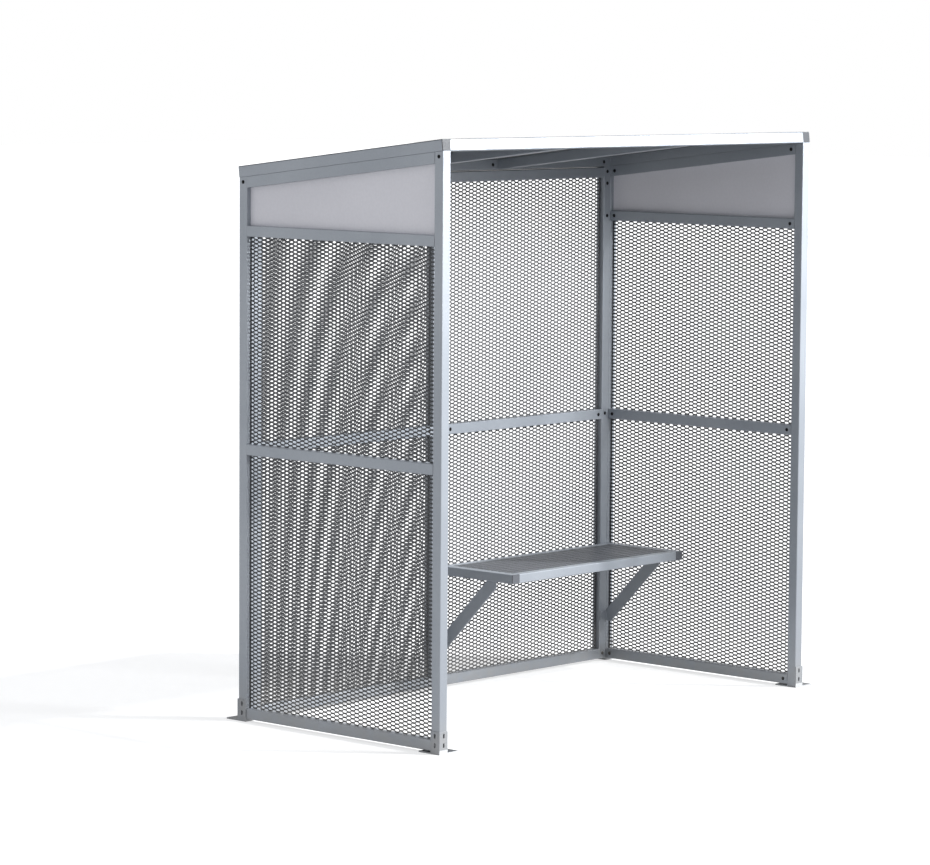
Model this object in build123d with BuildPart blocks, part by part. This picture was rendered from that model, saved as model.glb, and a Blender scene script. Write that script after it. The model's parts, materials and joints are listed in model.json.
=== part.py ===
"""Small steel waiting shelter: mesh walls on three sides, a mono-pitch roof and a wall bench.

Frame: millimetres, +Z up, X along the shelter's width, the open front towards -Y.
The origin is on the ground, in the middle of the box round the whole shelter.
"""
import math
import os

from build123d import *

# ---- overall sizes -------------------------------------------------------------------
width = 2080.0                 # outside the corner posts, left to right
depth = 1010.0                 # outside the corner posts, front to back
front_height = 2121.0          # ground to the roof frame's underside, at the front
rear_height = 2000.0           # the same, at the rear

# ---- square tube for posts, rails and roof frame --------------------------------------
tube = 40.0
wall = 2.0
corner = 3.0                   # outer corner radius of every tube

# ---- walls ---------------------------------------------------------------------------
bottom_rail_z = 10.0           # underside of the bottom rails
middle_rail_z = 987.0          # underside of the middle rails
upper_rail_drop = 213.0        # rear height down to the underside of the upper rails
mesh_thickness = 3.0
sheet_thickness = 2.0

# ---- feet ----------------------------------------------------------------------------
plate_size = 100.0
plate_thickness = 5.0
sleeve_wall = 3.0
sleeve_height = 82.0           # ground to the top of the foot's upright angle
anchor_diameter = 12.0
anchor_inset = 30.0            # post's far corner to the anchor hole, in X and in Y
slot_length = 17.0
slot_width = 8.0
slot_heights = (32.0, 66.0)    # ground to the middle of each slot

# ---- roof ----------------------------------------------------------------------------
roof_sheet = 1.5
cap_thickness = 3.0
rafter_count = 2

# ---- bench ---------------------------------------------------------------------------
seat_height = 481.0            # ground to the top of the seat
bench_front = 590.0            # shelter's front face to the bench's front edge
bench_inset = 2.0              # middle of the shelter to the bench's left side
bench_gap = 0.5                # bench's right side to the right wall's mesh
bench_beam_width = 40.0        # end beams and front rail
bench_beam_height = 35.0
bench_rear_rail = 25.0         # front-to-back size of the rear rail
slat_count = 9
slat_gap = 8.0
slat_depth = 20.0
slat_wall = 1.5
strut_width = 50.0
strut_thickness = 5.0
strut_top_y = 700.0            # shelter's front face to the strut's centre at its top
strut_nose_y = 692.0           # shelter's front face to the strut's upright front edge
strut_foot_z = 170.0           # ground to the strut's centre line at the uprights' front face
strut_cut_z = 164.0            # ground to the strut's level lower cut
pad_height = 40.0              # plate that carries the strut on an upright's front face
pad_thickness = 5.0

# ---- places that follow from the sizes -------------------------------------------------
plate_reach = plate_size - tube                       # plate beyond the post, outside
left = -(width + plate_reach - sleeve_wall) / 2       # outer face of the left wall
right = left + width
front = -(depth + plate_reach - sleeve_wall) / 2      # outer face of the front posts
rear = front + depth
middle = (left + right) / 2
upper_rail_z = rear_height - upper_rail_drop
pitch = math.atan2(front_height - rear_height, depth)
drop = tube / math.cos(pitch)                         # upright height of a sloping tube

os.makedirs("parts", exist_ok=True)


def save(piece, name):
    """Label a finished piece and write it as its own STEP file."""
    piece.label = name
    export_step(piece, f"parts/{name}.step")


def roof_z(y):
    """Height of the roof frame's underside at a place between front and rear."""
    return front_height - (y - front) * math.tan(pitch)


def tube_profile(across=tube, up=tube):
    """Rounded hollow section, drawn inside the sketch that is open."""
    RectangleRounded(across, up, corner)
    RectangleRounded(across - 2 * wall, up - 2 * wall, corner - wall, mode=Mode.SUBTRACT)


def straight_tube(start, direction, length, across=tube, up=tube, side=(1, 0, 0)):
    """Tube from a start point at the middle of its end section, along one direction."""
    section = Plane(origin=start, x_dir=side, z_dir=direction)
    with BuildPart() as piece:
        with BuildSketch(section):
            tube_profile(across, up)
        extrude(amount=length)
    return piece.part


# ---- posts ---------------------------------------------------------------------------
roof_underside = Plane(
    origin=(0, front, front_height), x_dir=(1, 0, 0), z_dir=(0, math.sin(pitch), math.cos(pitch))
)


def slots(x, y, toward):
    """Outline of the foot's upright slots, on a plane through the post's centre."""
    face = Plane(origin=(x, y, 0), x_dir=(-toward[1], toward[0], 0), z_dir=toward)
    with BuildSketch(face) as outline:
        with Locations(*[(0, z) for z in slot_heights]):
            SlotOverall(slot_length, slot_width, rotation=90)
    return outline.sketch


def corner_post(x, y, slotted, name):
    """Corner post, cut to the roof's slope, with slots in some outer walls near the foot."""
    with BuildPart() as post:
        with BuildSketch(Plane((x, y, plate_thickness))):
            tube_profile()
        extrude(amount=front_height)
        split(bisect_by=roof_underside, keep=Keep.BOTTOM)
        for toward in slotted:
            extrude(slots(x, y, toward), amount=tube, mode=Mode.SUBTRACT)
    save(post.part, name)


left_post_x = left + tube / 2
right_post_x = right - tube / 2
front_post_y = front + tube / 2
rear_post_y = rear - tube / 2
WEST, EAST, SOUTH, NORTH = (-1, 0, 0), (1, 0, 0), (0, -1, 0), (0, 1, 0)
corners = {
    "front_left": (left_post_x, front_post_y, (WEST, SOUTH)),
    "front_right": (right_post_x, front_post_y, (EAST, SOUTH)),
    "rear_left": (left_post_x, rear_post_y, (WEST, NORTH)),
    "rear_right": (right_post_x, rear_post_y, (EAST, NORTH)),
}
slotted_sides = {
    "front_left": (WEST, SOUTH),
    "front_right": (EAST, SOUTH),
    "rear_left": (WEST,),
    "rear_right": (EAST,),
}
for place, (x, y, outward) in corners.items():
    corner_post(x, y, slotted_sides[place], f"post_{place}")


# ---- feet ----------------------------------------------------------------------------
def foot(x, y, outward, slotted, name):
    """Base plate with an upright angle lapped on the post's two outer faces."""
    plate_left = x - tube / 2 - (sleeve_wall if WEST in outward else 0)
    plate_front = y - tube / 2 - (sleeve_wall if SOUTH in outward else 0)
    upright = sleeve_height - plate_thickness
    lap = tube + sleeve_wall
    with BuildPart() as base:
        with BuildSketch(Plane((plate_left, plate_front, 0))):
            Rectangle(plate_size, plate_size, align=(Align.MIN, Align.MIN))
        extrude(amount=plate_thickness)
        with BuildSketch(Plane((x + tube / 2 + anchor_inset, y + tube / 2 + anchor_inset, 0))):
            Circle(anchor_diameter / 2)
        extrude(amount=plate_thickness, mode=Mode.SUBTRACT)
        for toward in outward:
            other = outward[0] if toward == outward[1] else outward[1]
            offset = (tube + sleeve_wall) / 2
            place = (
                x + toward[0] * offset + other[0] * sleeve_wall / 2,
                y + toward[1] * offset + other[1] * sleeve_wall / 2,
                plate_thickness,
            )
            size = (sleeve_wall, lap) if toward[0] else (lap, sleeve_wall)
            with BuildSketch(Plane(place)):
                Rectangle(*size)
            extrude(amount=upright)
        for toward in slotted:
            extrude(slots(x, y, toward), amount=tube, mode=Mode.SUBTRACT)
    save(base.part, name)


for place, (x, y, outward) in corners.items():
    foot(x, y, outward, slotted_sides[place], f"foot_{place}")


# ---- side walls ------------------------------------------------------------------------
side_start = front + tube
side_end = rear - tube


def side_rail(x, z, name):
    """Level rail between the front and rear posts; z is its underside."""
    start = (x, side_start, z + tube / 2)
    save(straight_tube(start, (0, 1, 0), side_end - side_start), name)


def side_top_rail(x, name):
    """Sloping rail under the roof's side trim, its ends cut to the posts' faces."""
    with BuildPart() as rail:
        with BuildSketch(Plane(origin=(x, 0, 0), x_dir=(0, 1, 0), z_dir=(1, 0, 0))):
            Polygon(*slope_outline(side_start, side_end, 0, drop), align=None)
        extrude(amount=tube / 2, both=True)
        with BuildSketch(Plane(origin=(x, 0, 0), x_dir=(0, 1, 0), z_dir=(1, 0, 0))):
            Polygon(*slope_outline(side_start, side_end, wall, drop - wall), align=None)
        extrude(amount=tube / 2 - wall, both=True, mode=Mode.SUBTRACT)
    save(rail.part, name)


def slope_outline(y_start, y_end, below, under):
    """Corners of a band between two heights measured down from the roof's underside."""
    return [
        (y_start, roof_z(y_start) - under),
        (y_end, roof_z(y_end) - under),
        (y_end, roof_z(y_end) - below),
        (y_start, roof_z(y_start) - below),
    ]


def side_panel(x, z_low, z_high, name):
    """Mesh panel of a side wall, in the middle plane of its posts."""
    with BuildPart() as panel:
        with BuildSketch(Plane(origin=(x, 0, 0), x_dir=(0, 1, 0), z_dir=(1, 0, 0))):
            with Locations(((side_start + side_end) / 2, (z_low + z_high) / 2)):
                Rectangle(side_end - side_start, z_high - z_low)
        extrude(amount=mesh_thickness / 2, both=True)
    save(panel.part, name)


def gable_sheet(x, name):
    """Plain sheet that fills the wall above the upper rail, cut to the roof's slope."""
    base = upper_rail_z + tube
    with BuildPart() as sheet:
        with BuildSketch(Plane(origin=(x, 0, 0), x_dir=(0, 1, 0), z_dir=(1, 0, 0))):
            Polygon(
                (side_start, base),
                (side_end, base),
                (side_end, roof_z(side_end) - drop),
                (side_start, roof_z(side_start) - drop),
                align=None,
            )
        extrude(amount=sheet_thickness / 2, both=True)
    save(sheet.part, name)


for side, x in (("left", left_post_x), ("right", right_post_x)):
    side_rail(x, bottom_rail_z, f"{side}_bottom_rail")
    side_rail(x, middle_rail_z, f"{side}_middle_rail")
    side_rail(x, upper_rail_z, f"{side}_upper_rail")
    side_top_rail(x, f"{side}_top_rail")
    side_panel(x, bottom_rail_z + tube, middle_rail_z, f"{side}_lower_mesh")
    side_panel(x, middle_rail_z + tube, upper_rail_z, f"{side}_upper_mesh")
    gable_sheet(x, f"{side}_gable_sheet")


# ---- back wall ---------------------------------------------------------------------------
back_frames = {"left": (left + tube, middle), "right": (middle, right - tube)}
spans = [(start + tube, end - tube) for start, end in back_frames.values()]
back_top_z = rear_height - tube


def uprights(x_start, x_end, name):
    """The two uprights of one frame of the back wall, cut to the roof's slope."""
    with BuildPart() as pair:
        with BuildSketch(Plane((0, rear_post_y, bottom_rail_z))):
            with Locations((x_start + tube / 2, 0), (x_end - tube / 2, 0)):
                tube_profile()
        extrude(amount=front_height)
        split(bisect_by=roof_underside, keep=Keep.BOTTOM)
    save(pair.part, name)


def back_panel(x_start, x_end, z_low, z_high, name):
    """Mesh panel of one frame of the back wall, in the middle plane of its uprights."""
    with BuildPart() as panel:
        with BuildSketch(Plane(origin=(0, rear_post_y, 0), x_dir=(1, 0, 0), z_dir=(0, -1, 0))):
            with Locations(((x_start + x_end) / 2, (z_low + z_high) / 2)):
                Rectangle(x_end - x_start, z_high - z_low)
        extrude(amount=mesh_thickness / 2, both=True)
    save(panel.part, name)


def back_rails(z, name):
    """Level rails of the back wall, one between each two uprights; z is their underside."""
    with BuildPart() as rails:
        for x_start, x_end in spans:
            with BuildSketch(Plane(origin=(x_start, rear_post_y, z + tube / 2), z_dir=(1, 0, 0))):
                tube_profile()
            extrude(amount=x_end - x_start)
    save(rails.part, name)


back_rails(bottom_rail_z, "back_bottom_rails")
back_rails(middle_rail_z, "back_middle_rails")
back_rails(back_top_z, "back_top_rails")
for side, (x_start, x_end) in back_frames.items():
    uprights(x_start, x_end, f"back_{side}_uprights")
for side, (x_start, x_end) in zip(back_frames, spans):
    back_panel(x_start, x_end, bottom_rail_z + tube, middle_rail_z, f"back_{side}_lower_mesh")
    back_panel(x_start, x_end, middle_rail_z + tube, back_top_z, f"back_{side}_upper_mesh")


# ---- roof --------------------------------------------------------------------------------
slope_length = depth / math.cos(pitch)
down_slope = (0, math.cos(pitch), -math.sin(pitch))


def on_roof(x, along, up):
    """Point at a distance down the slope and square above the frame's underside."""
    return roof_underside.from_local_coords(Vector(x, along, up))


def sloping_tube(x, start, end):
    """Roof tube down the slope, inside the part that is open."""
    with BuildSketch(
        Plane(origin=on_roof(x, start, tube / 2), x_dir=(1, 0, 0), z_dir=down_slope)
    ) as section:
        tube_profile()
    extrude(section.sketch, amount=end - start)


def end_cap(centre, across, up, facing):
    """Thin plate with rounded corners that closes a tube, inside the part that is open."""
    with BuildSketch(Plane(origin=centre, x_dir=(1, 0, 0), z_dir=facing)) as plate:
        RectangleRounded(across, up, corner)
    extrude(plate.sketch, amount=cap_thickness)


def cross_tube(along, name):
    """Roof tube across the shelter, between the side trims."""
    start = on_roof(left + tube, along, tube / 2)
    with BuildPart() as trim:
        with BuildSketch(Plane(origin=start, x_dir=down_slope, z_dir=(1, 0, 0))):
            tube_profile()
        extrude(amount=width - 2 * tube)
    save(trim.part, name)


cross_tube(tube / 2, "roof_front_trim")
cross_tube(slope_length - tube / 2, "roof_rear_trim")

for side, x in (("left", left_post_x), ("right", right_post_x)):
    with BuildPart() as trim:
        sloping_tube(x, cap_thickness, slope_length)
    save(trim.part, f"roof_{side}_trim")

with BuildPart() as roof_caps:
    for x in (left_post_x, right_post_x):
        end_cap(on_roof(x, 0, tube / 2), tube, tube, down_slope)
save(roof_caps.part, "roof_end_caps")

rafter_pitch = width / (rafter_count + 1)
with BuildPart() as rafters:
    for number in range(1, rafter_count + 1):
        sloping_tube(left + number * rafter_pitch, tube, slope_length - tube)
save(rafters.part, "roof_rafters")

with BuildPart() as sheet:
    with BuildSketch(roof_underside.offset(tube)):
        with Locations((middle, slope_length / 2)):
            Rectangle(width, slope_length)
    extrude(amount=roof_sheet)
save(sheet.part, "roof_sheet")


# ---- bench ---------------------------------------------------------------------------------
bench_left = middle + bench_inset
bench_right = right_post_x - mesh_thickness / 2 - bench_gap
seat_front_y = front + bench_front
seat_rear_y = rear - tube
beam_z = seat_height - bench_beam_height / 2
inner_left = bench_left + bench_beam_width
inner_right = bench_right - bench_beam_width

left_beam_x = bench_left + bench_beam_width / 2
right_beam_x = bench_right - bench_beam_width / 2
for side, centre in (("left", left_beam_x), ("right", right_beam_x)):
    start = (centre, seat_front_y + cap_thickness, beam_z)
    run = seat_rear_y - seat_front_y - cap_thickness
    beam = straight_tube(start, (0, 1, 0), run, bench_beam_width, bench_beam_height)
    save(beam, f"bench_{side}_beam")

with BuildPart() as bench_caps:
    for centre in (left_beam_x, right_beam_x):
        end_cap((centre, seat_front_y, beam_z), bench_beam_width, bench_beam_height, (0, 1, 0))
save(bench_caps.part, "bench_end_caps")

inner_length = inner_right - inner_left
rail_start = (inner_left, seat_front_y + bench_beam_width / 2, beam_z)
front_rail = straight_tube(
    rail_start, (1, 0, 0), inner_length, bench_beam_width, bench_beam_height, side=(0, 1, 0)
)
save(front_rail, "bench_front_rail")
rail_start = (inner_left, seat_rear_y - bench_rear_rail / 2, beam_z)
rear_rail = straight_tube(
    rail_start, (1, 0, 0), inner_length, bench_rear_rail, bench_beam_height, side=(0, 1, 0)
)
save(rear_rail, "bench_rear_rail")

slats_front_y = seat_front_y + bench_beam_width
slats_rear_y = seat_rear_y - bench_rear_rail
slat_pitch = (slats_rear_y - slats_front_y - slat_gap) / slat_count
slat_width = slat_pitch - slat_gap
slats_centre = (inner_left, (slats_front_y + slats_rear_y) / 2, seat_height - slat_depth / 2)
with BuildPart() as slats:
    with BuildSketch(Plane(origin=slats_centre, x_dir=(0, 1, 0), z_dir=(1, 0, 0))):
        with GridLocations(slat_pitch, 0, slat_count, 1):
            Rectangle(slat_width, slat_depth)
            Rectangle(
                slat_width - 2 * slat_wall, slat_depth - 2 * slat_wall, mode=Mode.SUBTRACT
            )
    extrude(amount=inner_length)
save(slats.part, "bench_slats")


def strut(x, pad_left, pad_right):
    """Flat diagonal bar from under an end beam to a plate on an upright's front face."""
    top_z = seat_height - bench_beam_height
    top_y = front + strut_top_y
    nose_y = front + strut_nose_y
    end_y = seat_rear_y - pad_thickness
    lean = math.atan2(top_z - strut_foot_z, seat_rear_y - top_y)
    half_level = strut_width / 2 / math.sin(lean)
    half_upright = strut_width / 2 / math.cos(lean)
    nose_z = top_z - (nose_y - (top_y - half_level)) * math.tan(lean)
    cut_y = seat_rear_y - (strut_cut_z - strut_foot_z + half_upright) / math.tan(lean)
    end_z = strut_foot_z + half_upright + pad_thickness * math.tan(lean)
    with BuildSketch(Plane(origin=(x, 0, 0), x_dir=(0, 1, 0), z_dir=(1, 0, 0))) as flat:
        Polygon(
            (nose_y, top_z),
            (nose_y, nose_z),
            (cut_y, strut_cut_z),
            (end_y, strut_cut_z),
            (end_y, end_z),
            (top_y + half_level, top_z),
            align=None,
        )
    extrude(flat.sketch, amount=strut_thickness / 2, both=True)
    with BuildSketch(Plane(((pad_left + pad_right) / 2, seat_rear_y, strut_cut_z))) as foot_plate:
        Rectangle(pad_right - pad_left, pad_thickness, align=(Align.CENTER, Align.MAX))
    extrude(foot_plate.sketch, amount=pad_height)


left_upright_x = back_frames["right"][0]
right_upright_end = back_frames["right"][1]
with BuildPart() as struts:
    strut(left_beam_x, left_upright_x, left_upright_x + tube)
    strut(right_beam_x, right_upright_end - tube, right_upright_end)
save(struts.part, "bench_struts")
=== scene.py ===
"""Finishes and small fittings of a steel waiting shelter with expanded-metal walls.

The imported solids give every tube, sheet and foot its size and place. This script dresses them,
weaves the open wall panels, sets the bolts, plugs the roof's rear tube ends and lights the whole.
All lengths are in metres: +X runs along the shelter's width, +Z is up, the open side faces -Y.
"""

import json
import logging
import math
from dataclasses import dataclass, field
from enum import Enum

import bmesh
import bpy
from mathutils import Matrix, Vector


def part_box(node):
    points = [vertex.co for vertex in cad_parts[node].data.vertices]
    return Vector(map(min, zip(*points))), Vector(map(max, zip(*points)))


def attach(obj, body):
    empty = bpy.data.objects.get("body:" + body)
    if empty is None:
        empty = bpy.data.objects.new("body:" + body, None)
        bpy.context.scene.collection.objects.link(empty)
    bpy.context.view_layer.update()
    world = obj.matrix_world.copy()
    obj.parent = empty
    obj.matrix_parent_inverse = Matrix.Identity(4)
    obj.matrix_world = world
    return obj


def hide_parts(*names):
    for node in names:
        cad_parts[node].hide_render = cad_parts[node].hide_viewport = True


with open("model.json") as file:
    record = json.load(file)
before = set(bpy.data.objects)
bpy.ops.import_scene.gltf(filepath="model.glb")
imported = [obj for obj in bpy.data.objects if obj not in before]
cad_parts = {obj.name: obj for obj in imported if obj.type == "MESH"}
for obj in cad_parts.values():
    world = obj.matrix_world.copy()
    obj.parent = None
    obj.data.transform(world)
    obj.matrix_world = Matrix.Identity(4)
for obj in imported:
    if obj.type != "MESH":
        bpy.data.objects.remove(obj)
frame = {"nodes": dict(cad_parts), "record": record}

logging.basicConfig(level=logging.INFO, format="%(message)s")
log = logging.getLogger("shelter")

BODY = "root"
TUBE = 0.040  # side of the square tube
WHITE = (1.0, 1.0, 1.0)

Colour = tuple[float, float, float]
Place = tuple[float, float, float]
Form = bmesh.types.BMesh
Socket = bpy.types.NodeSocket
Outputs = dict[str, Socket]
Value = Socket | Colour | float


class Wall(Enum):
    """The three walls, by the way their panels lie."""

    LEFT = "left"
    RIGHT = "right"
    BACK = "back"


class Slot(Enum):
    """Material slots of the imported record."""

    FRAME = "frame"
    FOOT = "foot"
    MESH = "mesh"
    SHEET = "sheet"
    SEAT = "seat"
    END_CAP = "end_cap"


# ---- node trees -----------------------------------------------------------------------


class Graph:
    """Adds and joins the nodes of one node tree."""

    def __init__(self, tree: bpy.types.NodeTree) -> None:
        """Args: tree, the node tree to fill."""
        self.tree = tree

    def add(self, kind: str, **settings: object) -> bpy.types.Node:
        """Adds one node.

        Args:
            kind: the node's type, without its ShaderNode prefix.
            settings: attributes to set on the node.
        Returns:
            The new node.
        """
        prefix = "" if kind.startswith("NodeGroup") else "ShaderNode"
        node = self.tree.nodes.new(prefix + kind)
        for name, value in settings.items():
            setattr(node, name, value)
        return node

    def feed(self, target: Socket, value: Value) -> None:
        """Gives an input what it reads: another socket, a colour or a number."""
        if isinstance(value, Socket):
            self.tree.links.new(value, target)
        elif isinstance(value, tuple):
            target.default_value = (*value, 1.0)
        else:
            target.default_value = value

    def math(self, operation: str, a: Value, b: Value) -> Socket:
        """Adds a Math node on two sockets or numbers and returns its output."""
        node = self.add("Math", operation=operation)
        for socket, value in zip(node.inputs, (a, b)):
            self.feed(socket, value)
        return node.outputs[0]

    def blend(self, factor: Value, a: Value, b: Value) -> Socket:
        """Mixes two colours by a factor.

        Args:
            factor: how much of the second colour shows.
            a: the colour at 0.
            b: the colour at 1.
        Returns:
            The mixed colour's socket.
        """
        node = self.add("Mix", data_type="RGBA")
        by_name = {"Factor": factor, "A": a, "B": b}
        for socket in node.inputs:
            if socket.enabled:
                self.feed(socket, by_name[socket.name])
        return next(socket for socket in node.outputs if socket.enabled)

    def noise(self, vector: Socket, scale: Value, detail: float) -> Socket:
        """Adds a Noise Texture and returns its Factor output."""
        node = self.add("TexNoise")
        for name, value in (("Vector", vector), ("Scale", scale), ("Detail", detail)):
            self.feed(node.inputs[name], value)
        return node.outputs["Fac"]

    def remap(self, value: Socket, low: float, high: float) -> Socket:
        """Spreads the stretch from low to high smoothly over 0 to 1, clamped."""
        node = self.add("MapRange", interpolation_type="SMOOTHSTEP")
        for name, given in (("Value", value), ("From Min", low), ("From Max", high)):
            self.feed(node.inputs[name], given)
        return node.outputs["Result"]

    def component(self, vector: Socket, axis: str) -> Socket:
        """Returns a vector's component along X, Y or Z."""
        node = self.add("SeparateXYZ")
        self.feed(node.inputs[0], vector)
        return node.outputs[axis]


class Effect(Enum):
    """Shader groups shared by the finishes."""

    TONE = "coat_tone"
    GROUND_DUST = "ground_dust"
    ORANGE_PEEL = "orange_peel"
    DRAWN_LINES = "drawn_lines"
    BELOW = "below_level"
    LOW_TOPS = "low_tops"
    LOW_FRONTS = "low_fronts"


class EffectBook:
    """Builds each shared shader group once."""

    # Each group's second input, after the coordinates, and its outputs.
    SOCKETS = {
        Effect.TONE: ("Scale", ("Mask", "Fine")),
        Effect.GROUND_DUST: ("Reach", ("Mask",)),
        Effect.ORANGE_PEEL: ("Scale", ("Height",)),
        Effect.DRAWN_LINES: ("Scale", ("Mask",)),
        Effect.BELOW: ("Level", ("Mask",)),
        Effect.LOW_TOPS: ("Level", ("Mask",)),
        Effect.LOW_FRONTS: ("Level", ("Mask",)),
    }
    SPECKLE_SCALE = 60.0  # times the scale of the broad drifts
    DUST_SCALE = 18.0
    DUST_CONTRAST = 1.3
    LINE_STRETCH = (0.02, 1.0, 1.0)
    FACING = 0.5  # least share of a face's normal along an axis

    def __init__(self) -> None:
        """Starts with no group built."""
        self.trees: dict[Effect, bpy.types.NodeTree] = {}

    def place(
        self, graph: Graph, effect: Effect, vector: Socket, amount: float
    ) -> bpy.types.Node:
        """Puts a group into a material.

        Args:
            graph: the material's graph.
            effect: which group.
            vector: coordinates the group reads.
            amount: its second input, a scale, a reach or a level.
        Returns:
            The group node.
        """
        if effect not in self.trees:
            self.trees[effect] = self._build(effect)
        node = graph.add("Group")
        node.node_tree = self.trees[effect]
        graph.feed(node.inputs[0], vector)
        graph.feed(node.inputs[1], amount)
        return node

    def _build(self, effect: Effect) -> bpy.types.NodeTree:
        """Makes one group's tree with its sockets and returns it."""
        tree = bpy.data.node_groups.new(effect.value, "ShaderNodeTree")
        amount, outputs = self.SOCKETS[effect]
        for name, kind in (("Vector", "Vector"), (amount, "Float")):
            tree.interface.new_socket(name, in_out="INPUT", socket_type=f"NodeSocket{kind}")
        for name in outputs:
            tree.interface.new_socket(name, in_out="OUTPUT", socket_type="NodeSocketFloat")
        graph = Graph(tree)
        start, end = graph.add("NodeGroupInput"), graph.add("NodeGroupOutput")
        maker = {
            Effect.TONE: self._tone,
            Effect.GROUND_DUST: self._ground_dust,
            Effect.ORANGE_PEEL: self._orange_peel,
            Effect.DRAWN_LINES: self._drawn_lines,
            Effect.BELOW: self._below,
            Effect.LOW_TOPS: self._low_tops,
            Effect.LOW_FRONTS: self._low_fronts,
        }[effect]
        for name, socket in maker(graph, start.outputs[0], start.outputs[1]).items():
            graph.feed(end.inputs[name], socket)
        return tree

    @classmethod
    def _tone(cls, graph: Graph, vector: Socket, scale: Socket) -> Outputs:
        """Broad drifts of tone and a fine speckle of the same coat."""
        broad = graph.noise(vector, scale, detail=3.0)
        drifts = graph.remap(broad, low=0.32, high=0.68)
        closer = graph.math("MULTIPLY", scale, cls.SPECKLE_SCALE)
        fine = graph.noise(vector, closer, detail=2.0)
        return {"Mask": drifts, "Fine": graph.remap(fine, low=0.3, high=0.7)}

    @classmethod
    def _ground_dust(cls, graph: Graph, vector: Socket, reach: Socket) -> Outputs:
        """Dust splashed up from the ground, patchy and gone above the reach."""
        height = graph.math("DIVIDE", graph.component(vector, "Z"), reach)
        fade = graph.math("SUBTRACT", 1.0, height)
        patches = graph.noise(vector, cls.DUST_SCALE, detail=6.0)
        patchy = graph.math("MULTIPLY", patches, cls.DUST_CONTRAST)
        return {"Mask": graph.remap(graph.math("MULTIPLY", fade, patchy), low=0.15, high=0.85)}

    @staticmethod
    def _orange_peel(graph: Graph, vector: Socket, scale: Socket) -> Outputs:
        """The low ripple of a sprayed coat."""
        return {"Height": graph.noise(vector, scale, detail=1.0)}

    @classmethod
    def _drawn_lines(cls, graph: Graph, vector: Socket, scale: Socket) -> Outputs:
        """Long fine lines along X, as drawing leaves them on a profile."""
        stretch = graph.add("Mapping")
        stretch.inputs["Scale"].default_value = cls.LINE_STRETCH
        graph.feed(stretch.inputs["Vector"], vector)
        lines = graph.noise(stretch.outputs[0], scale, detail=4.0)
        return {"Mask": graph.remap(lines, low=0.35, high=0.65)}

    @staticmethod
    def _below(graph: Graph, vector: Socket, level: Socket) -> Outputs:
        """Everything under a level."""
        return {"Mask": graph.math("LESS_THAN", graph.component(vector, "Z"), level)}

    @classmethod
    def _low_facing(
        cls, graph: Graph, vector: Socket, level: Socket, axis: str, way: float
    ) -> Outputs:
        """Faces under a level that look along one axis, the way of the sign given."""
        normal = graph.component(graph.add("TexCoord").outputs["Normal"], axis)
        facing = graph.math("GREATER_THAN", graph.math("MULTIPLY", normal, way), cls.FACING)
        under = cls._below(graph, vector, level)["Mask"]
        return {"Mask": graph.math("MULTIPLY", facing, under)}

    @classmethod
    def _low_tops(cls, graph: Graph, vector: Socket, level: Socket) -> Outputs:
        """Upward faces under a level."""
        return cls._low_facing(graph, vector, level, "Z", 1.0)

    @classmethod
    def _low_fronts(cls, graph: Graph, vector: Socket, level: Socket) -> Outputs:
        """Faces under a level that look to the open front."""
        return cls._low_facing(graph, vector, level, "Y", -1.0)


# ---- finishes -------------------------------------------------------------------------


@dataclass(frozen=True)
class Mark:
    """A tone laid over a coat where an effect's mask is on."""

    effect: Effect
    level: float
    tint: Colour


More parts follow.
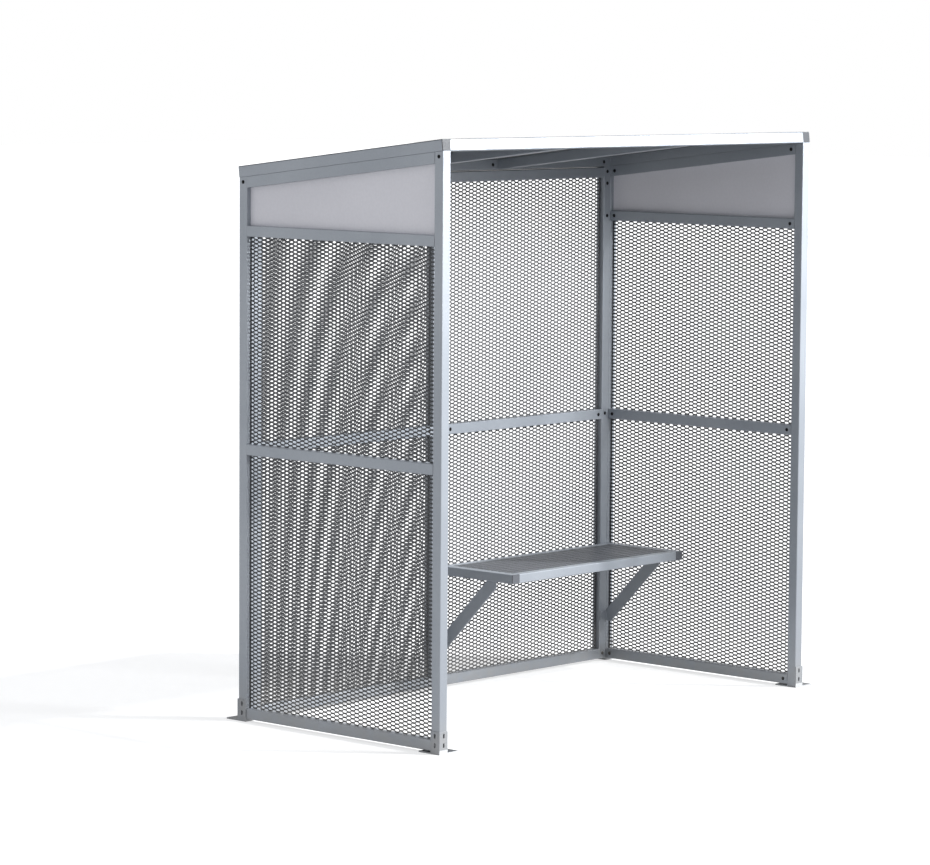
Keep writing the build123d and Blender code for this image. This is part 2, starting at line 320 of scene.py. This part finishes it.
@dataclass(frozen=True)
class Finish:
    """One surface finish, from its tones to its sheen.

    The colour drifts between light and dark, dust gathers near the ground, and the coat's
    ripple and rounded edges go into the normal.
    """

    name: str
    light: Colour
    dark: Colour
    metallic: float = 0.0
    roughness: tuple[float, float] = (0.35, 0.45)
    specular: float = 0.5
    tone_scale: float = 2.5
    speckle: float = 0.06
    speckle_shade: float = 0.6  # speckle's tone, as a share of the dark one
    dust: Colour = (0.36, 0.34, 0.31)
    dust_reach: float = 0.30
    dust_amount: float = 0.35
    ripple_scale: float = 420.0
    ripple_height: float = 0.00006
    edge_radius: float = 0.0025
    lines_scale: float = 260.0
    lines_amount: float = 0.0
    lines_shade: float = 0.45  # drawn lines' tone, as a share of the dark one
    marks: tuple[Mark, ...] = ()

    def _shade(self, share: float) -> Colour:
        """Returns the dark tone, darkened to a share of itself."""
        return tuple(channel * share for channel in self.dark)

    def build(self, effects: EffectBook) -> bpy.types.Material:
        """Makes the material.

        Args:
            effects: the shared shader groups.
        Returns:
            The material, ready to assign.
        """
        material = bpy.data.materials.new(self.name)
        material.use_nodes = True
        graph = Graph(material.node_tree)
        inputs = material.node_tree.nodes["Principled BSDF"].inputs
        place = graph.add("TexCoord").outputs["Object"]

        tone = effects.place(graph, Effect.TONE, place, self.tone_scale).outputs
        colour = graph.blend(tone["Mask"], self.dark, self.light)
        if self.lines_amount:
            lines = effects.place(graph, Effect.DRAWN_LINES, place, self.lines_scale).outputs
            amount = graph.math("MULTIPLY", lines["Mask"], self.lines_amount)
            colour = graph.blend(amount, colour, self._shade(self.lines_shade))
        speckle = graph.math("MULTIPLY", tone["Fine"], self.speckle)
        colour = graph.blend(speckle, colour, self._shade(self.speckle_shade))
        dust = effects.place(graph, Effect.GROUND_DUST, place, self.dust_reach).outputs
        dusty = graph.math("MULTIPLY", dust["Mask"], self.dust_amount)
        colour = graph.blend(dusty, colour, self.dust)
        for mark in self.marks:
            area = effects.place(graph, mark.effect, place, mark.level).outputs
            colour = graph.blend(area["Mask"], colour, mark.tint)
        graph.feed(inputs["Base Color"], colour)

        spread = graph.add("MapRange")
        graph.feed(spread.inputs["Value"], graph.math("MAXIMUM", tone["Fine"], dust["Mask"]))
        for name, rough in zip(("To Min", "To Max"), self.roughness):
            graph.feed(spread.inputs[name], rough)
        graph.feed(inputs["Roughness"], spread.outputs["Result"])
        graph.feed(inputs["Metallic"], self.metallic)
        graph.feed(inputs["Specular IOR Level"], self.specular)
        graph.feed(inputs["Normal"], self._surface(graph, effects, place))
        return material

    def _surface(self, graph: Graph, effects: EffectBook, place: Socket) -> Socket:
        """Adds the coat's ripple over rounded edges and returns the normal."""
        edge = graph.add("Bevel", samples=4)
        graph.feed(edge.inputs["Radius"], self.edge_radius)
        peel = effects.place(graph, Effect.ORANGE_PEEL, place, self.ripple_scale)
        bump = graph.add("Bump")
        graph.feed(bump.inputs["Strength"], 1.0)
        graph.feed(bump.inputs["Distance"], self.ripple_height)
        graph.feed(bump.inputs["Height"], peel.outputs["Height"])
        graph.feed(bump.inputs["Normal"], edge.outputs["Normal"])
        return bump.outputs["Normal"]


SATIN_FRAME = Finish(
    "satin_blue_grey",
    light=(0.325, 0.35, 0.385),
    dark=(0.29, 0.315, 0.35),
    metallic=0.35,
    roughness=(0.34, 0.44),
)
FOOT_SHOE = Finish(
    "foot_silver_grey",
    light=(0.33, 0.355, 0.385),
    dark=(0.28, 0.30, 0.33),
    metallic=0.2,
    roughness=(0.36, 0.5),
    dust_amount=0.4,
    marks=(
        Mark(Effect.LOW_TOPS, 0.006, (0.10, 0.105, 0.115)),  # the plate's upper side
        Mark(Effect.LOW_FRONTS, 0.016, (0.62, 0.63, 0.64)),  # the toe
    ),
)
PALE_SHEET = Finish(
    "gable_pale_grey",
    light=(0.76, 0.75, 0.79),
    dark=(0.71, 0.70, 0.74),
    roughness=(0.5, 0.6),
    tone_scale=1.6,
    ripple_scale=160.0,
)
ROOF_COAT = Finish(
    "roof_sheet_grey",
    light=(0.15, 0.157, 0.163),
    dark=(0.12, 0.127, 0.133),
    roughness=(0.75, 0.85),
    specular=0.2,
    tone_scale=1.6,
)
CHARCOAL_MESH = Finish(
    "mesh_charcoal",
    light=(0.062, 0.064, 0.069),
    dark=(0.043, 0.045, 0.049),
    roughness=(0.6, 0.75),
    edge_radius=0.0005,
)
SEAT_COAT_AND_SLAT_SHADE = Finish(
    "seat_mid_grey_and_slat_shade",
    light=(0.24, 0.255, 0.28),
    dark=(0.19, 0.205, 0.23),
    metallic=0.2,
    roughness=(0.38, 0.5),
    lines_amount=0.3,
    # painted shade under the slats: the frame's upward faces below the seat are darkened
    marks=(Mark(Effect.LOW_TOPS, 0.490, (0.135, 0.143, 0.157)),),
)
SLAT_COAT_AND_GAP_SHADE = Finish(
    "slat_mid_grey_and_gap_shade",
    light=(0.125, 0.133, 0.147),
    dark=(0.10, 0.107, 0.12),
    metallic=0.2,
    roughness=(0.38, 0.5),
    lines_amount=0.3,
    marks=(Mark(Effect.BELOW, 0.4800, (0.020, 0.021, 0.023)),),  # painted shade: the slats' sides and undersides in the gaps, near black
)
CAP_PLASTIC = Finish(
    "cap_matt_grey",
    light=(0.095, 0.102, 0.115),
    dark=(0.075, 0.08, 0.092),
    roughness=(0.55, 0.65),
    ripple_scale=1500.0,
    edge_radius=0.001,
)
ROOF_CAP = Finish(
    "roof_cap_dark_grey",
    light=(0.042, 0.045, 0.051),
    dark=(0.033, 0.036, 0.041),
    roughness=(0.55, 0.65),
    ripple_scale=1500.0,
    edge_radius=0.001,
)
BOLT_BLACK = Finish(
    "bolt_black",
    light=(0.010, 0.010, 0.011),
    dark=(0.006, 0.006, 0.007),
    roughness=(0.55, 0.7),
    specular=0.12,
    edge_radius=0.0005,
)


# ---- pieces ---------------------------------------------------------------------------


def put(name: str, data: bpy.types.ID) -> bpy.types.Object:
    """Makes an object round a mesh, a light or a camera and links it to the scene."""
    made = bpy.data.objects.new(name, data)
    bpy.context.scene.collection.objects.link(made)
    return made


class Workshop:
    """Hands out finished materials and puts pieces into the scene."""

    def __init__(self) -> None:
        """Starts with an empty rack of materials."""
        self.effects = EffectBook()
        self.materials: dict[str, bpy.types.Material] = {}

    def material(self, finish: Finish) -> bpy.types.Material:
        """Returns the finish's material, made on first use."""
        if finish.name not in self.materials:
            self.materials[finish.name] = finish.build(self.effects)
        return self.materials[finish.name]

    def dress(self, node: str, finish: Finish) -> None:
        """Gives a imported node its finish."""
        mesh = frame["nodes"][node].data
        mesh.materials.clear()
        mesh.materials.append(self.material(finish))
        log.info("dressed %s in %s", node, finish.name)

    def piece(
        self, name: str, form: Form, finish: Finish
    ) -> bpy.types.Object:
        """Turns a finished bmesh into a piece that rides on the shelter.

        Args:
            name: the piece's name.
            form: its shape in the shelter's own frame, which is used up.
            finish: what it is coated with.
        Returns:
            The new object.
        """
        mesh = bpy.data.meshes.new(name)
        form.to_mesh(mesh)
        form.free()
        mesh.materials.append(self.material(finish))
        made = put(name, mesh)
        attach(made, BODY)
        log.info("piece %s: %d faces", name, len(mesh.polygons))
        return made


# ---- expanded-metal panels ------------------------------------------------------------


@dataclass
class ExpandedPanel:
    """One wall panel of expanded metal: staggered six-sided openings between twisted strands.

    The openings stand in rows that are shifted by half a pitch. Two strands run together in
    each level knuckle and part again on both sides of it.
    """

    node: str
    wall: Wall
    offset: tuple[float, float]  # an opening's centre, from the panel's centre
    strand: float  # a parted strand's width
    long_way: float = 0.0400  # opening to opening along a row
    short_way: float = 0.01435  # row to row of the same phase
    knuckle: float = 0.0150  # length of a level knuckle
    knuckle_height: float = 0.0068
    thickness: float = 0.0016
    twist: float = 0.0003  # how far a strand's edges lean out of the panel's plane
    selvedge_and_shade: float = 0.0055  # width of the solid strip down both upright edges, a real edge strip that also stands in for the shade where the panel meets its posts
    selvedge_and_shade_thickness: float = 0.0024
    spare: int = 2  # openings beyond the outline, for the trim
    weld: float = 1e-5  # corners nearer than this are one
    cut: float = 1e-6  # corners nearer than this to a cut lie on it

    def _cell(self) -> Form:
        """Makes one opening with its share of the strands round it, in the XZ plane."""
        form = bmesh.new()
        half, side = self.knuckle / 2, (self.long_way - self.knuckle) / 2
        top = self.short_way / 2
        ring = [(-side, 0), (-half, -top), (half, -top), (side, 0), (half, top), (-half, top)]
        outer = [form.verts.new((x, 0, z)) for x, z in ring]
        face = form.faces.new(outer)
        form.normal_update()
        bmesh.ops.inset_individual(form, faces=[face], thickness=self.strand / 2)
        bmesh.ops.delete(form, geom=[face], context="FACES_ONLY")
        rise = (self.knuckle_height - self.strand) / 2
        for vert in set(form.verts) - set(outer):
            if abs(vert.co.z) > self.strand / 2:
                way = math.copysign(1.0, vert.co.z)
                vert.co += Vector((0, self.twist * way, -rise * way))
        return form

    @staticmethod
    def _corners(copy: dict[str, list]) -> list[bmesh.types.BMVert]:
        """Returns the vertices of what a bmesh operator has made."""
        return [made for made in copy["geom"] if isinstance(made, bmesh.types.BMVert)]

    def _copy(self, form: Form, step: Vector) -> None:
        """Copies everything in the bmesh once, one step away."""
        copy = bmesh.ops.duplicate(form, geom=form.verts[:] + form.edges[:] + form.faces[:])
        bmesh.ops.translate(form, verts=self._corners(copy), vec=step)

    def _spread(self, form: Form, step: Vector, count: int) -> int:
        """Repeats everything along a step by doubling.

        Args:
            form: what to repeat.
            step: from one copy to the next.
            count: how many copies are needed at least.
        Returns:
            How many there are.
        """
        made = 1
        while made < count:
            self._copy(form, step * made)
            made *= 2
        return made

    def _trim(self, form: Form, width: float, height: float) -> None:
        """Cuts the woven field to the panel's outline."""
        for side, reach in ((Vector((1, 0, 0)), width / 2), (Vector((0, 0, 1)), height / 2)):
            for way in (side, -side):
                bmesh.ops.bisect_plane(
                    form,
                    geom=form.verts[:] + form.edges[:] + form.faces[:],
                    dist=self.cut,
                    plane_co=way * reach,
                    plane_no=way,
                    clear_outer=True,
                )

    def _weave(self, width: float, height: float) -> Form:
        """Makes the flat field of openings, cut to the panel's outline."""
        form = self._cell()
        self._copy(form, Vector((self.long_way / 2, 0, self.short_way / 2)))
        columns = math.ceil(width / self.long_way) + self.spare
        columns = self._spread(form, Vector((self.long_way, 0, 0)), columns)
        rows = math.ceil(height / self.short_way) + self.spare
        rows = self._spread(form, Vector((0, 0, self.short_way)), rows)
        across, up = self.offset
        across -= columns // 2 * self.long_way
        up -= rows // 2 * self.short_way
        bmesh.ops.translate(form, verts=form.verts, vec=Vector((across, 0, up)))
        self._trim(form, width - self.selvedge_and_shade, height)
        bmesh.ops.remove_doubles(form, verts=form.verts, dist=self.weld)
        bmesh.ops.recalc_face_normals(form, faces=form.faces)
        return form

    def _thicken(self, form: Form) -> None:
        """Gives the flat field the metal's thickness, half to each side."""
        bmesh.ops.translate(form, verts=form.verts, vec=(0, -self.thickness / 2, 0))
        copy = bmesh.ops.extrude_face_region(form, geom=form.faces[:])
        bmesh.ops.translate(form, verts=self._corners(copy), vec=(0, self.thickness, 0))

    def _bind_and_shade_edges(self, form: Form, width: float, height: float) -> None:
        """Adds the solid strips down the two upright edges, which also stand in for the shade
        where the panels meet the posts.
        """
        for way in (-1, 1):
            middle = Matrix.Translation((way * (width - self.selvedge_and_shade) / 2, 0, 0))
            shape = Matrix.Diagonal((self.selvedge_and_shade, self.selvedge_and_shade_thickness, height, 1))
            bmesh.ops.create_cube(form, size=1.0, matrix=middle @ shape)

    def build(self, shop: Workshop) -> None:
        """Weaves the panel to its node's size and puts it in the node's place."""
        low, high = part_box(self.node)
        centre, size = (low + high) / 2, high - low
        width = size.x if self.wall is Wall.BACK else size.y
        form = self._weave(width, size.z)
        self._thicken(form)
        self._bind_and_shade_edges(form, width, size.z)
        bmesh.ops.recalc_face_normals(form, faces=form.faces)
        turn = Matrix.Rotation(0.0 if self.wall is Wall.BACK else math.pi / 2, 3, "Z")
        bmesh.ops.rotate(form, verts=form.verts, cent=(0, 0, 0), matrix=turn)
        bmesh.ops.translate(form, verts=form.verts, vec=centre)
        name = self.node.replace("_mesh", "_lattice")
        made = shop.piece(name, form, CHARCOAL_MESH)
        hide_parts(self.node)


# ---- repeated fittings ----------------------------------------------------------------


def repeat(form: Form, places: list[Matrix]) -> Form:
    """Copies one shape to several places.

    Args:
        form: the shape, which is used up.
        places: one transform for each copy.
    Returns:
        A bmesh with every copy in it.
    """
    together = bmesh.new()
    mesh = bpy.data.meshes.new("pattern")
    for place in places:
        form.to_mesh(mesh)
        mesh.transform(place)
        together.from_mesh(mesh)
    form.free()
    bpy.data.meshes.remove(mesh)
    return together


def seat_on(place: Vector, way: Vector) -> Matrix:
    """Returns the transform that sets +Z along a way and the origin at a place."""
    turn = Vector((0, 0, 1)).rotation_difference(way).to_matrix().to_4x4()
    return Matrix.Translation(place) @ turn


@dataclass
class ButtonBolt:
    """A black button-head bolt with a sunk socket."""

    radius: float = 0.0072
    height: float = 0.0029
    crown: float = 0.62  # crown's radius as a share of the head's
    rounding: float = 0.0007  # width of the crown's rounded rim
    socket: float = 0.0026
    socket_depth: float = 0.0018
    sides: int = 16

    def form(self) -> Form:
        """Makes one head that stands on the XY plane."""
        form = bmesh.new()
        crown = self.radius * self.crown
        bmesh.ops.create_cone(
            form,
            cap_ends=True,
            segments=self.sides,
            radius1=self.radius,
            radius2=crown,
            depth=self.height,
            matrix=Matrix.Translation((0, 0, self.height / 2)),
        )
        top = max(form.faces, key=lambda f: f.calc_center_median().z)
        bmesh.ops.bevel(
            form,
            geom=top.edges[:],
            offset=self.rounding,
            segments=2,
            profile=0.5,
            affect="EDGES",
            material=-1,
        )
        top = max(form.faces, key=lambda f: (round(f.calc_center_median().z, 6), len(f.verts)))
        rim = crown - self.socket - self.rounding
        bmesh.ops.inset_individual(form, faces=[top], thickness=rim)
        sunk = bmesh.ops.extrude_discrete_faces(form, faces=[top])["faces"][0]
        bmesh.ops.translate(form, verts=sunk.verts, vec=(0, 0, -self.socket_depth))
        bmesh.ops.recalc_face_normals(form, faces=form.faces)
        return form


@dataclass
class Bolting:
    """Every visible bolt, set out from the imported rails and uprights."""

    bolt: ButtonBolt = field(default_factory=ButtonBolt)
    rail_inset: float = 0.020  # rail's end to the bolt
    upright_levels: tuple[float, ...] = (0.032, 1.010, 1.807, 1.937, 1.984)
    trim_places: tuple[float, ...] = (0.2965, 0.9605)  # from the trim's middle, both ways
    trim_lean: float = 0.002  # tilted trim's foremost edge to the bolts' seat

    def _wall(self, side: Wall) -> list[Matrix]:
        """Bolts on the inner faces of a side wall's rails."""
        inward = Vector((1 if side is Wall.LEFT else -1, 0, 0))
        places = []
        for rail in ("bottom", "middle", "upper", "top"):
            low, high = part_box(f"{side.value}_{rail}_rail")
            x = high.x if side is Wall.LEFT else low.x
            fall = (high.z - low.z - TUBE) / (high.y - low.y)
            for y in (low.y + self.rail_inset, high.y - self.rail_inset):
                z = high.z - TUBE / 2 - fall * (y - low.y)
                places.append(seat_on(Vector((x, y, z)), inward))
        return places

    def _outside(self, side: Wall) -> list[Matrix]:
        """Bolts high on the outer faces of a side wall's corner posts."""
        outward = Vector((-1 if side is Wall.LEFT else 1, 0, 0))
        places = []
        for end in ("front", "rear"):
            low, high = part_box(f"post_{end}_{side.value}")
            x = low.x if side is Wall.LEFT else high.x
            spot = Vector((x, (low.y + high.y) / 2, high.z - TUBE / 2))
            places.append(seat_on(spot, outward))
        return places

    def _back(self) -> list[Matrix]:
        """Bolts on the front faces of the back frames' uprights and middle rails."""
        forward = Vector((0, -1, 0))
        places = []
        for side in (Wall.LEFT, Wall.RIGHT):
            low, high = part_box(f"back_{side.value}_uprights")
            for x in (low.x + TUBE / 2, high.x - TUBE / 2):
                places += [seat_on(Vector((x, low.y, z)), forward) for z in self.upright_levels]
            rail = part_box("back_middle_rails")
            z = (rail[0].z + rail[1].z) / 2
            for x in (low.x + TUBE + self.rail_inset, high.x - TUBE - self.rail_inset):
                places.append(seat_on(Vector((x, rail[0].y, z)), forward))
        return places

    def _rear_trim(self) -> list[Matrix]:
        """Bolts on the front face of the roof's rear trim."""
        low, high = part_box("roof_rear_trim")
        middle, forward = (low + high) / 2, Vector((0, -1, 0))
        spots = [middle.x + way * reach for reach in self.trim_places for way in (-1, 1)]
        y = low.y + self.trim_lean
        return [seat_on(Vector((x, y, middle.z)), forward) for x in spots]

    def build(self, shop: Workshop) -> None:
        """Adds the bolts, one piece for each wall and one for the roof's trim."""
        groups = {
            "bolts_left_wall": self._wall(Wall.LEFT) + self._outside(Wall.LEFT),
            "bolts_right_wall": self._wall(Wall.RIGHT) + self._outside(Wall.RIGHT),
            "bolts_back_wall": self._back(),
            "bolts_rear_trim": self._rear_trim(),
        }
        for name, places in groups.items():
            shop.piece(name, repeat(self.bolt.form(), places), BOLT_BLACK)


@dataclass
class RearPlugs:
    """Push-in plugs that close the side trims' rear ends, a little way inside the tubes."""

    side: float = 0.0365  # just over the bore, so the rim grips the wall
    thickness: float = 0.0030
    recess: float = 0.0008
    rounding: float = 0.0008

    def _place(self, node: str) -> Matrix:
        """Returns the transform from a plug's own frame to its trim's rear end."""
        low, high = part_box(node)
        fall = math.atan2(high.z - low.z - TUBE, high.y - low.y)
        middle = Vector((
            (low.x + high.x) / 2,
            high.y - TUBE / 2 * math.sin(fall),
            low.z + TUBE / 2 * math.cos(fall),
        ))
        inward = Vector((0, -math.cos(fall), math.sin(fall)))
        turn = Matrix.Rotation(-fall, 4, "X")
        return Matrix.Translation(middle + inward * (self.recess + self.thickness / 2)) @ turn

    def build(self, shop: Workshop) -> None:
        """Adds both plugs as one piece."""
        form = bmesh.new()
        shape = Matrix.Diagonal((self.side, self.thickness, self.side, 1))
        bmesh.ops.create_cube(form, size=1.0, matrix=shape)
        bmesh.ops.bevel(
            form,
            geom=form.edges[:],
            offset=self.rounding,
            segments=2,
            profile=0.5,
            affect="EDGES",
        )
        places = [self._place(f"roof_{side}_trim") for side in ("left", "right")]
        shop.piece("roof_rear_plugs", repeat(form, places), CAP_PLASTIC)


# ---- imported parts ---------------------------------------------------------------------


class Dressing:
    """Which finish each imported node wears."""

    BY_SLOT = {
        Slot.FRAME: SATIN_FRAME,
        Slot.FOOT: FOOT_SHOE,
        Slot.SHEET: PALE_SHEET,
        Slot.SEAT: SEAT_COAT_AND_SLAT_SHADE,
        Slot.END_CAP: CAP_PLASTIC,
        Slot.MESH: CHARCOAL_MESH,
    }
    BY_NODE = {
        "roof_sheet": ROOF_COAT,
        "bench_slats": SLAT_COAT_AND_GAP_SHADE,
        "roof_end_caps": ROOF_CAP,
    }

    def build(self, shop: Workshop) -> None:
        """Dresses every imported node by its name, or else by its slot in the record."""
        for part in frame["record"]["subparts"]:
            finish = self.BY_SLOT[Slot(part["material_slot"])]
            shop.dress(part["node"], self.BY_NODE.get(part["node"], finish))


# ---- stage ----------------------------------------------------------------------------


@dataclass
class Studio:
    """Floor, daylight, lamp and camera."""

    floor_size: float = 120.0
    floor_drop: float = 0.0005  # keeps the floor clear of the feet's undersides
    floor_tone: Colour = (0.48, 0.48, 0.48)
    floor_roughness: float = 0.9
    floor_glow: float = 0.62
    sky_tone: Colour = (0.92, 0.95, 1.0)
    sky_strength: float = 0.58
    lamp_place: Place = (1.2, -3.6, 3.3)
    lamp_aim: Place = (0.0, -0.3, 2.6)
    lamp_size: float = 1.2
    lamp_power: float = 118.0
    lamp_spread: float = math.radians(85.0)
    lamp_tone: Colour = (0.97, 0.985, 1.0)
    sun_from: Place = (0.42, -0.52, 0.74)
    sun_strength: float = 3.6
    sun_angle: float = math.radians(3.0)
    eye: Place = (-11.0244, -9.7465, 2.4972)
    heading: float = math.radians(47.568)
    tilt: float = math.radians(-5.707)
    roll: float = math.radians(0.407)
    lens: float = 151.3
    sensor: float = 36.0
    sight: float = 500.0  # how far the camera sees

    def build(self) -> None:
        """Sets the stage and the colour handling."""
        bpy.context.scene.view_settings.view_transform = "Standard"
        self._sky()
        self._floor()
        self._lamp()
        self._sun()
        self._camera()

    @staticmethod
    def _seen(graph: Graph) -> Socket:
        """Returns a mask of rays that see the background, straight, in gloss or through glass."""
        path = graph.add("LightPath").outputs
        either = graph.math("MAXIMUM", path["Is Camera Ray"], path["Is Glossy Ray"])
        return graph.math("MAXIMUM", either, path["Is Transmission Ray"])

    def _sky(self) -> None:
        """A plain soft sky that looks white."""
        world = bpy.data.worlds.new("soft_sky")
        world.use_nodes = True
        bpy.context.scene.world = world
        graph = Graph(world.node_tree)
        nodes = world.node_tree.nodes
        plain, white = nodes["Background"], graph.add("Background")
        skies = ((plain, self.sky_tone, self.sky_strength), (white, WHITE, 1.0))
        for sky, tone, strength in skies:
            graph.feed(sky.inputs["Color"], tone)
            graph.feed(sky.inputs["Strength"], strength)
        both = graph.add("MixShader")
        sources = (self._seen(graph), plain.outputs[0], white.outputs[0])
        for socket, source in zip(both.inputs, sources):
            graph.feed(socket, source)
        graph.feed(nodes["World Output"].inputs["Surface"], both.outputs[0])

    def _floor(self) -> None:
        """A pale floor that keeps the shadow."""
        form = bmesh.new()
        bmesh.ops.create_grid(form, x_segments=2, y_segments=2, size=self.floor_size / 2)
        mesh = bpy.data.meshes.new("floor")
        form.to_mesh(mesh)
        form.free()
        floor = put("floor", mesh)
        floor.location.z = -self.floor_drop
        material = bpy.data.materials.new("floor_white")
        material.use_nodes = True
        graph = Graph(material.node_tree)
        inputs = material.node_tree.nodes["Principled BSDF"].inputs
        graph.feed(inputs["Base Color"], self.floor_tone)
        graph.feed(inputs["Roughness"], self.floor_roughness)
        graph.feed(inputs["Emission Color"], WHITE)
        glow = graph.math("MULTIPLY", self._seen(graph), self.floor_glow)
        graph.feed(inputs["Emission Strength"], glow)
        mesh.materials.append(material)

    def _lamp(self) -> None:
        """One soft lamp in front, above and a little to the right."""
        data = bpy.data.lights.new("key", "AREA")
        data.energy = self.lamp_power
        data.size = self.lamp_size
        data.color = self.lamp_tone
        data.spread = self.lamp_spread
        lamp = put("key", data)
        lamp.location = self.lamp_place
        way = Vector(self.lamp_aim) - Vector(self.lamp_place)
        lamp.rotation_mode = "QUATERNION"
        lamp.rotation_quaternion = way.to_track_quat("-Z", "Y")

    def _sun(self) -> None:
        """A sun from the open front and the right."""
        data = bpy.data.lights.new("sun", "SUN")
        data.energy, data.angle = self.sun_strength, self.sun_angle
        sun = put("sun", data)
        sun.rotation_mode = "QUATERNION"
        sun.rotation_quaternion = Vector(self.sun_from).to_track_quat("Z", "Y")

    def _camera(self) -> None:
        """The camera, far off with a long lens."""
        level = Vector((math.sin(self.heading), math.cos(self.heading), 0.0))
        ahead = level * math.cos(self.tilt) + Vector((0, 0, math.sin(self.tilt)))
        right = ahead.cross(Vector((0, 0, 1))).normalized()
        up = right.cross(ahead)
        right = right * math.cos(self.roll) + up * math.sin(self.roll)
        up = right.cross(ahead)
        data = bpy.data.cameras.new("eye")
        data.lens, data.sensor_width, data.sensor_fit = self.lens, self.sensor, "HORIZONTAL"
        data.clip_end = self.sight
        camera = put("eye", data)
        turn = Matrix((right, up, -ahead)).transposed().to_4x4()
        camera.matrix_world = Matrix.Translation(self.eye) @ turn
        bpy.context.scene.camera = camera


# ---- the whole shelter ----------------------------------------------------------------


def back_panel(node: str, offset: tuple[float, float]) -> ExpandedPanel:
    """Returns a panel of the back wall, whose metal is a little coarser than the sides'."""
    return ExpandedPanel(node, Wall.BACK, offset, strand=0.0046, long_way=0.04045)


PANELS = (
    ExpandedPanel("left_lower_mesh", Wall.LEFT, (-0.0016, -0.0004), strand=0.0031),
    ExpandedPanel("left_upper_mesh", Wall.LEFT, (-0.0023, 0.0023), strand=0.0031),
    ExpandedPanel("right_lower_mesh", Wall.RIGHT, (-0.0094, 0.0034), strand=0.0040),
    ExpandedPanel("right_upper_mesh", Wall.RIGHT, (0.0108, -0.0028), strand=0.0040),
    back_panel("back_left_lower_mesh", (-0.0055, 0.0039)),
    back_panel("back_left_upper_mesh", (-0.0053, 0.005)),
    back_panel("back_right_lower_mesh", (-0.0055, 0.0039)),
    back_panel("back_right_upper_mesh", (-0.0053, 0.005)),
)


def main() -> None:
    """Builds the shelter's looks and the stage round it."""
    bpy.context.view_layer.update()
    shop = Workshop()
    Dressing().build(shop)
    for panel in PANELS:
        panel.build(shop)
    Bolting().build(shop)
    RearPlugs().build(shop)
    Studio().build()


if __name__ == "__main__":
    main()
